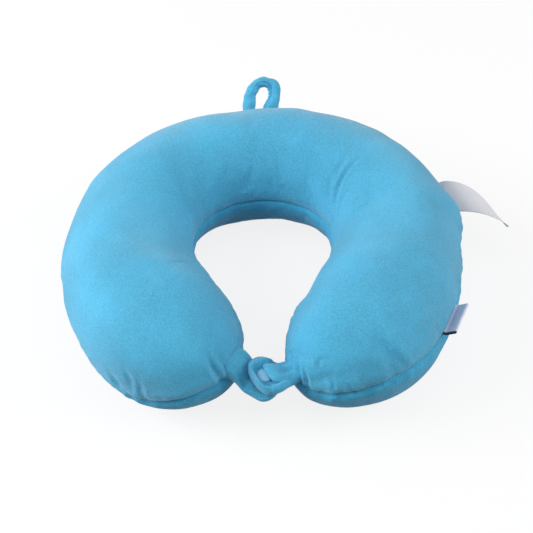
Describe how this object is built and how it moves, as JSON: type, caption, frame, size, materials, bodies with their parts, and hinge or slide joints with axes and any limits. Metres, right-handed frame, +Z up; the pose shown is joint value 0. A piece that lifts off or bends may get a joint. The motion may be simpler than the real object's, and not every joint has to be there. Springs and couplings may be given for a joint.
{
  "type": "u shaped neck pillow",
  "caption": "U-shaped travel neck pillow: foam core in a zipped plush cover, straps that snap together at the front, hanging loop and sewn-in labels.",
  "frame": {"origin": "on the flat underside, below the middle of the back, on the surface that the pillow lies on", "axes": "+Z up out of the surface it lies on, +Y to the back and the hanging loop, -Y to the tips, +X to the side with the labels"},
  "size_m": [0.3329, 0.314, 0.0944],
  "materials": {
    "top_plush": "short-pile plush",
    "bottom_plush": "short-pile plush",
    "strap_plush": "short-pile plush",
    "loop_plush": "short-pile plush",
    "memory_foam": "moulded open-cell foam",
    "blue_thread": "sewing thread",
    "zip_tape": "woven tape",
    "zip_nylon": "nylon coil",
    "zip_metal": "enamelled die casting",
    "snap_plastic": "moulded",
    "care_satin": "satin ribbon",
    "woven_label": "woven ribbon"
  },
  "bodies": {
    "pillow": {"foam_core": "memory_foam", "top_panel": "top_plush", "bottom_panel": "bottom_plush", "seam_thread": "blue_thread", "zip_upper_tape": "zip_tape", "zip_lower_tape": "zip_tape", "zip_upper_coil": "zip_nylon", "zip_lower_coil": "zip_nylon", "zip_top_stop": "zip_metal", "zip_bottom_stop": "zip_metal"},
    "loop": {"hang_loop": "loop_plush"},
    "right_strap_body": {"right_strap": "strap_plush", "snap_upper_cap": "snap_plastic", "snap_socket": "snap_plastic"},
    "left_strap_body": {"left_strap": "strap_plush", "snap_stud": "snap_plastic", "snap_lower_cap": "snap_plastic"},
    "care_label_body": {"care_label": "care_satin"},
    "side_label_body": {"side_label": "woven_label"},
    "slider": {"zip_slider": "zip_metal"},
    "pull": {"zip_pull": "zip_metal"}
  },
  "joints": [
    {"name": "loop_fold", "type": "hinge", "parent": "pillow", "child": "loop", "pos_m": [0, 0.04464, 0.0437], "axis": [1, 0, 0], "range_deg": [-80, 38], "stiffness_Nm_per_rad": 0.02},
    {"name": "right_strap_lift", "type": "hinge", "parent": "pillow", "child": "right_strap_body", "pos_m": [0.01703, -0.20964, 0.0457], "axis": [-0.4654, 0.8851, 0], "range_deg": [0, 60]},
    {"name": "left_strap_drop", "type": "hinge", "parent": "pillow", "child": "left_strap_body", "pos_m": [-0.01703, -0.20964, 0.0457], "axis": [-0.4654, -0.8851, 0], "range_deg": [-60, 0]},
    {"name": "care_label_flap", "type": "hinge", "parent": "pillow", "child": "care_label_body", "pos_m": [0.13776, -0.04516, 0.0437], "axis": [0.4067, -0.9135, 0], "range_deg": [-35, 60], "stiffness_Nm_per_rad": 0.002},
    {"name": "side_label_flap", "type": "hinge", "parent": "pillow", "child": "side_label_body", "pos_m": [0.13648, -0.17014, 0.04545], "axis": [-0.4226, -0.9063, 0], "range_deg": [-20, 20], "stiffness_Nm_per_rad": 0.002},
    {"name": "zip_travel", "type": "hinge", "parent": "pillow", "child": "slider", "pos_m": [0, -0.1065, 0.0437], "axis": [0, 0, 1], "range_deg": [0, 45]},
    {"name": "pull_swing", "type": "hinge", "parent": "slider", "child": "pull", "pos_m": [-0.04494, 0.03964, 0.0437], "axis": [0, 0, -1], "range_deg": [0, 165]}
  ]
}
